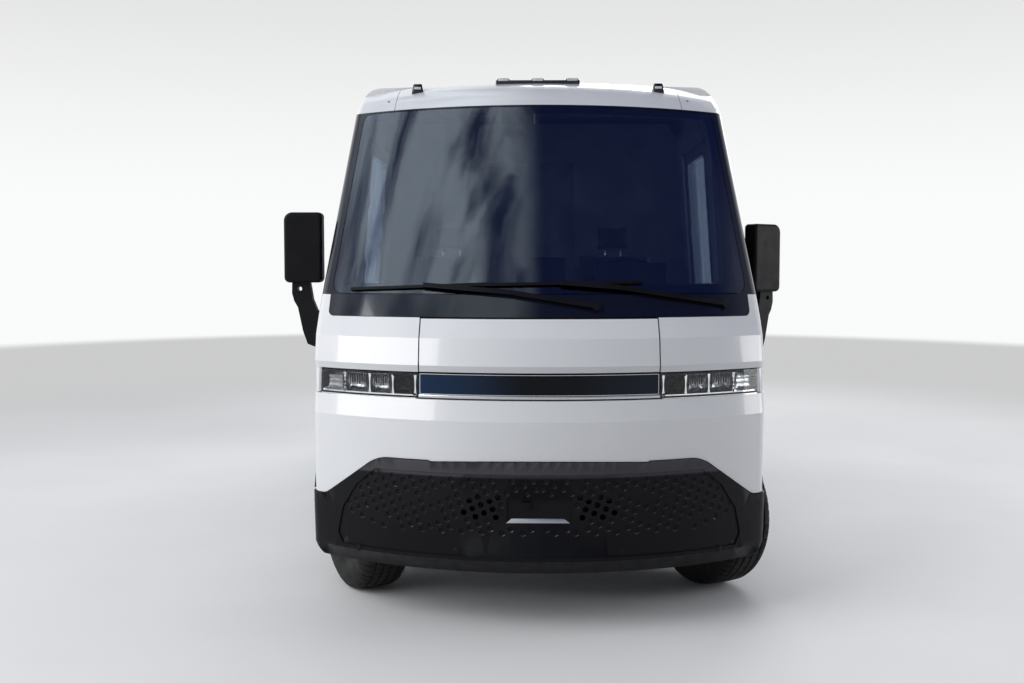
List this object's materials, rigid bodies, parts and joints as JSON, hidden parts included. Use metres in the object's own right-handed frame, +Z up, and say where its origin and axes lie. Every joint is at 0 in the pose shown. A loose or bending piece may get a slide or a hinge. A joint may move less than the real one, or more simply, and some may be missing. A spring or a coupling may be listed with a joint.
{
  "type": "electric delivery van",
  "caption": "Walk-in electric delivery van with a raked one-piece windshield, black pierced bumper, sliding cab doors, hinged rear doors and steered front wheels.",
  "frame": {"origin": "on the ground, midway between the sides and between the foremost and rearmost points", "axes": "front faces -Y, +X is the van's left, +Z up"},
  "size_m": [2.736, 6.07, 2.811],
  "materials": {
    "body_white": "gloss white paint",
    "trim_black": "grained black moulding",
    "frame_black": "satin black coating",
    "gloss_black": "gloss black",
    "clear_lens": "clear lens",
    "window_glass": "tinted glass",
    "lamp_chrome": "bright reflector",
    "lamp_red": "red lens",
    "cast_steel": "cast",
    "wheel_steel": "silver paint",
    "tyre_rubber": "rubber",
    "pack_alloy": "cast and extruded",
    "liner_grey": "grey",
    "seat_cloth": "woven cloth",
    "dash_grey": "grained"
  },
  "bodies": {
    "body": {"chassis_frame": "frame_black", "battery_pack": "pack_alloy", "suspension_front": "cast_steel", "suspension_rear": "cast_steel", "cab_floor": "frame_black", "cargo_floor": "liner_grey", "front_structure": "frame_black", "front_fascia": "body_white", "lower_bumper": "trim_black", "light_panel": "gloss_black", "headlamp_units": "lamp_chrome", "headlamp_lenses": "clear_lens", "fender_left": "body_white", "fender_right": "body_white", "windshield_frame": "gloss_black", "windshield": "window_glass", "quarter_glass": "window_glass", "wipers": "trim_black", "roof_header": "body_white", "roof": "body_white", "roof_lamps": "trim_black", "cargo_side_left": "body_white", "cargo_side_right": "body_white", "rear_frame": "body_white", "rear_bumper": "trim_black", "tail_lamps": "lamp_red", "side_cladding": "trim_black", "dashboard": "dash_grey", "steering_wheel": "dash_grey", "seats": "seat_cloth", "bulkhead": "liner_grey", "mirrors": "trim_black"},
    "hood": {"hood": "body_white"},
    "cab_door_left": {"cab_door_left": "body_white", "cab_door_glass_left": "window_glass"},
    "cab_door_right": {"cab_door_right": "body_white", "cab_door_glass_right": "window_glass"},
    "bulkhead_door": {"bulkhead_door": "liner_grey"},
    "rear_door_left": {"rear_door_left": "body_white"},
    "rear_door_right": {"rear_door_right": "body_white"},
    "knuckle_left": {"knuckle_left": "cast_steel"},
    "knuckle_right": {"knuckle_right": "cast_steel"},
    "wheel_front_left": {"wheel_front_left": "wheel_steel", "tyre_front_left": "tyre_rubber"},
    "wheel_front_right": {"wheel_front_right": "wheel_steel", "tyre_front_right": "tyre_rubber"},
    "wheel_rear_left": {"wheel_rear_left": "wheel_steel", "tyre_rear_left": "tyre_rubber"},
    "wheel_rear_right": {"wheel_rear_right": "wheel_steel", "tyre_rear_right": "tyre_rubber"}
  },
  "joints": [
    {"name": "hood_hinge", "type": "hinge", "parent": "body", "child": "hood", "pos_m": [0, -2.89853, 1.463], "axis": [-1, 0, 0], "range_deg": [0, 60]},
    {"name": "cab_door_left_slide", "type": "slide", "parent": "body", "child": "cab_door_left", "axis": [0, 1, 0], "range_m": [0, 0.76]},
    {"name": "cab_door_right_slide", "type": "slide", "parent": "body", "child": "cab_door_right", "axis": [0, 1, 0], "range_m": [0, 0.76]},
    {"name": "bulkhead_door_slide", "type": "slide", "parent": "body", "child": "bulkhead_door", "axis": [1, 0, 0], "range_m": [0, 0.64]},
    {"name": "rear_door_left_hinge", "type": "hinge", "parent": "body", "child": "rear_door_left", "pos_m": [0.908, 2.96, 1.6], "axis": [0, 0, -1], "range_deg": [0, 180]},
    {"name": "rear_door_right_hinge", "type": "hinge", "parent": "body", "child": "rear_door_right", "pos_m": [-0.908, 2.96, 1.6], "axis": [0, 0, 1], "range_deg": [0, 180]},
    {"name": "steer_left", "type": "hinge", "parent": "body", "child": "knuckle_left", "pos_m": [0.83, -2.075, 0.4], "axis": [0, 0, 1], "range_deg": [-64, 8]},
    {"name": "steer_right", "type": "hinge", "parent": "body", "child": "knuckle_right", "pos_m": [-0.83, -2.075, 0.4], "axis": [0, 0, 1], "range_deg": [-64, 8]},
    {"name": "wheel_front_left_spin", "type": "hinge", "parent": "knuckle_left", "child": "wheel_front_left", "pos_m": [0.93595, -2.01866, 0.4], "axis": [0.8829, 0.4695, 0], "continuous": true},
    {"name": "wheel_front_right_spin", "type": "hinge", "parent": "knuckle_right", "child": "wheel_front_right", "pos_m": [-0.93595, -2.13134, 0.4], "axis": [0.8829, 0.4695, 0], "continuous": true},
    {"name": "wheel_rear_left_spin", "type": "hinge", "parent": "body", "child": "wheel_rear_left", "pos_m": [0.95, 1.81, 0.4], "axis": [1, 0, 0], "continuous": true},
    {"name": "wheel_rear_right_spin", "type": "hinge", "parent": "body", "child": "wheel_rear_right", "pos_m": [-0.95, 1.81, 0.4], "axis": [1, 0, 0], "continuous": true}
  ],
  "couplings": [
    {"joint": "steer_right", "follows": "steer_left", "ratio": 1}
  ]
}
